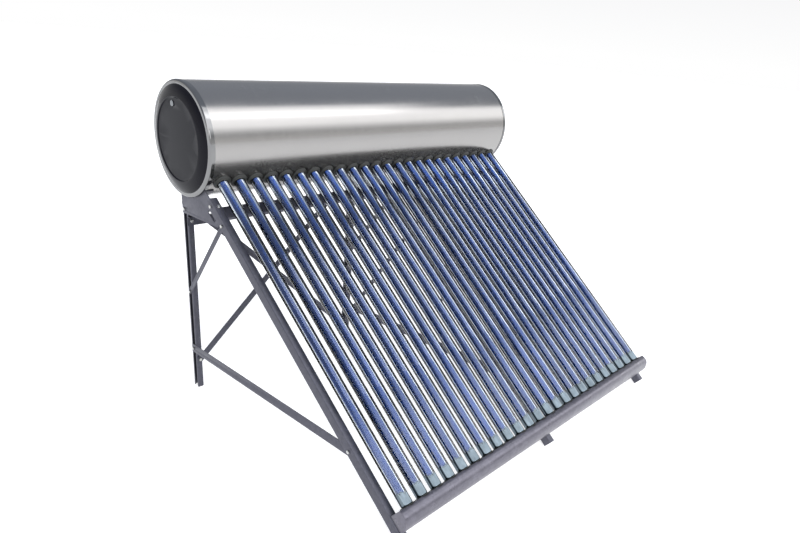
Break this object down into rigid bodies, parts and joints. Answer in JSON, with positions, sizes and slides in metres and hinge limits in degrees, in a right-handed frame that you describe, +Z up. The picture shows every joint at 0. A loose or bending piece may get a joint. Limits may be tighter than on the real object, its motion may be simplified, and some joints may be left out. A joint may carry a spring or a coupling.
{
  "type": "solar water heater",
  "caption": "Thermosiphon solar water heater: a horizontal insulated steel tank over a sloping row of evacuated glass tubes on a bolted steel stand.",
  "frame": {"origin": "on the ground, at the centre of the footprint box", "axes": "+X along the tank, +Y to the back (the tank side), +Z up; the tubes slope down to -Y"},
  "size_m": [1.899, 1.5758, 1.3587],
  "materials": {
    "tank_steel": "fine-brushed stainless sheet, brushed round the tank",
    "bright_band": "bright rolled stainless band",
    "black_cap": "glossy moulded black plastic",
    "grey_plug": "satin grey plastic",
    "inner_steel": "welded stainless vessel",
    "foam": "rigid polyurethane foam",
    "magnesium": "cast magnesium rod",
    "port_steel": "turned stainless stub",
    "silicone": "soft red silicone",
    "black_rubber": "matte black rubber",
    "cup_plastic": "black moulded plastic",
    "rail_paint": "satin grey coated steel",
    "frame_steel": "satin blue-grey coated steel",
    "zinc_fasteners": "zinc-plated steel",
    "coated_tube_glass": "clear borosilicate over a dark blue selective coating"
  },
  "bodies": {
    "root": {"tank_shell": "tank_steel", "end_band_left": "bright_band", "end_band_right": "bright_band", "end_cap_left": "black_cap", "end_cap_right": "black_cap", "sensor_plug": "grey_plug", "inner_tank": "inner_steel", "insulation_foam": "foam", "anode_rod": "magnesium", "water_ports": "port_steel", "tube_seals": "silicone", "dust_rings": "black_rubber", "tail_cups": "cup_plastic", "tail_rail": "rail_paint", "rail_end_plates": "rail_paint", "cross_channel": "frame_steel", "rear_top_rail": "frame_steel", "rising_braces": "frame_steel", "falling_braces": "frame_steel", "bolts": "zinc_fasteners", "nuts": "zinc_fasteners", "front_leg_left": "frame_steel", "rear_leg_left": "frame_steel", "side_tie_left": "frame_steel", "side_diagonal_left": "frame_steel", "saddle_left": "frame_steel", "front_leg_middle": "frame_steel", "rear_leg_middle": "frame_steel", "side_tie_middle": "frame_steel", "side_diagonal_middle": "frame_steel", "saddle_middle": "frame_steel", "front_leg_right": "frame_steel", "rear_leg_right": "frame_steel", "side_tie_right": "frame_steel", "side_diagonal_right": "frame_steel", "saddle_right": "frame_steel"},
    "evacuated_tube_01": {"tube_01": "coated_tube_glass"},
    "evacuated_tube_02": {"tube_02": "coated_tube_glass"},
    "evacuated_tube_03": {"tube_03": "coated_tube_glass"},
    "evacuated_tube_04": {"tube_04": "coated_tube_glass"},
    "evacuated_tube_05": {"tube_05": "coated_tube_glass"},
    "evacuated_tube_06": {"tube_06": "coated_tube_glass"},
    "evacuated_tube_07": {"tube_07": "coated_tube_glass"},
    "evacuated_tube_08": {"tube_08": "coated_tube_glass"},
    "evacuated_tube_09": {"tube_09": "coated_tube_glass"},
    "evacuated_tube_10": {"tube_10": "coated_tube_glass"},
    "evacuated_tube_11": {"tube_11": "coated_tube_glass"},
    "evacuated_tube_12": {"tube_12": "coated_tube_glass"},
    "evacuated_tube_13": {"tube_13": "coated_tube_glass"},
    "evacuated_tube_14": {"tube_14": "coated_tube_glass"},
    "evacuated_tube_15": {"tube_15": "coated_tube_glass"},
    "evacuated_tube_16": {"tube_16": "coated_tube_glass"},
    "evacuated_tube_17": {"tube_17": "coated_tube_glass"},
    "evacuated_tube_18": {"tube_18": "coated_tube_glass"},
    "evacuated_tube_19": {"tube_19": "coated_tube_glass"},
    "evacuated_tube_20": {"tube_20": "coated_tube_glass"},
    "evacuated_tube_21": {"tube_21": "coated_tube_glass"},
    "evacuated_tube_22": {"tube_22": "coated_tube_glass"},
    "evacuated_tube_23": {"tube_23": "coated_tube_glass"},
    "evacuated_tube_24": {"tube_24": "coated_tube_glass"}
  },
  "joints": [
    {"name": "push_up_tube_01", "type": "slide", "parent": "root", "child": "evacuated_tube_01", "axis": [0, 0.788, 0.6157], "range_m": [0, 0.04]},
    {"name": "push_up_tube_02", "type": "slide", "parent": "root", "child": "evacuated_tube_02", "axis": [0, 0.788, 0.6157], "range_m": [0, 0.04]},
    {"name": "push_up_tube_03", "type": "slide", "parent": "root", "child": "evacuated_tube_03", "axis": [0, 0.788, 0.6157], "range_m": [0, 0.04]},
    {"name": "push_up_tube_04", "type": "slide", "parent": "root", "child": "evacuated_tube_04", "axis": [0, 0.788, 0.6157], "range_m": [0, 0.04]},
    {"name": "push_up_tube_05", "type": "slide", "parent": "root", "child": "evacuated_tube_05", "axis": [0, 0.788, 0.6157], "range_m": [0, 0.04]},
    {"name": "push_up_tube_06", "type": "slide", "parent": "root", "child": "evacuated_tube_06", "axis": [0, 0.788, 0.6157], "range_m": [0, 0.04]},
    {"name": "push_up_tube_07", "type": "slide", "parent": "root", "child": "evacuated_tube_07", "axis": [0, 0.788, 0.6157], "range_m": [0, 0.04]},
    {"name": "push_up_tube_08", "type": "slide", "parent": "root", "child": "evacuated_tube_08", "axis": [0, 0.788, 0.6157], "range_m": [0, 0.04]},
    {"name": "push_up_tube_09", "type": "slide", "parent": "root", "child": "evacuated_tube_09", "axis": [0, 0.788, 0.6157], "range_m": [0, 0.04]},
    {"name": "push_up_tube_10", "type": "slide", "parent": "root", "child": "evacuated_tube_10", "axis": [0, 0.788, 0.6157], "range_m": [0, 0.04]},
    {"name": "push_up_tube_11", "type": "slide", "parent": "root", "child": "evacuated_tube_11", "axis": [0, 0.788, 0.6157], "range_m": [0, 0.04]},
    {"name": "push_up_tube_12", "type": "slide", "parent": "root", "child": "evacuated_tube_12", "axis": [0, 0.788, 0.6157], "range_m": [0, 0.04]},
    {"name": "push_up_tube_13", "type": "slide", "parent": "root", "child": "evacuated_tube_13", "axis": [0, 0.788, 0.6157], "range_m": [0, 0.04]},
    {"name": "push_up_tube_14", "type": "slide", "parent": "root", "child": "evacuated_tube_14", "axis": [0, 0.788, 0.6157], "range_m": [0, 0.04]},
    {"name": "push_up_tube_15", "type": "slide", "parent": "root", "child": "evacuated_tube_15", "axis": [0, 0.788, 0.6157], "range_m": [0, 0.04]},
    {"name": "push_up_tube_16", "type": "slide", "parent": "root", "child": "evacuated_tube_16", "axis": [0, 0.788, 0.6157], "range_m": [0, 0.04]},
    {"name": "push_up_tube_17", "type": "slide", "parent": "root", "child": "evacuated_tube_17", "axis": [0, 0.788, 0.6157], "range_m": [0, 0.04]},
    {"name": "push_up_tube_18", "type": "slide", "parent": "root", "child": "evacuated_tube_18", "axis": [0, 0.788, 0.6157], "range_m": [0, 0.04]},
    {"name": "push_up_tube_19", "type": "slide", "parent": "root", "child": "evacuated_tube_19", "axis": [0, 0.788, 0.6157], "range_m": [0, 0.04]},
    {"name": "push_up_tube_20", "type": "slide", "parent": "root", "child": "evacuated_tube_20", "axis": [0, 0.788, 0.6157], "range_m": [0, 0.04]},
    {"name": "push_up_tube_21", "type": "slide", "parent": "root", "child": "evacuated_tube_21", "axis": [0, 0.788, 0.6157], "range_m": [0, 0.04]},
    {"name": "push_up_tube_22", "type": "slide", "parent": "root", "child": "evacuated_tube_22", "axis": [0, 0.788, 0.6157], "range_m": [0, 0.04]},
    {"name": "push_up_tube_23", "type": "slide", "parent": "root", "child": "evacuated_tube_23", "axis": [0, 0.788, 0.6157], "range_m": [0, 0.04]},
    {"name": "push_up_tube_24", "type": "slide", "parent": "root", "child": "evacuated_tube_24", "axis": [0, 0.788, 0.6157], "range_m": [0, 0.04]}
  ]
}
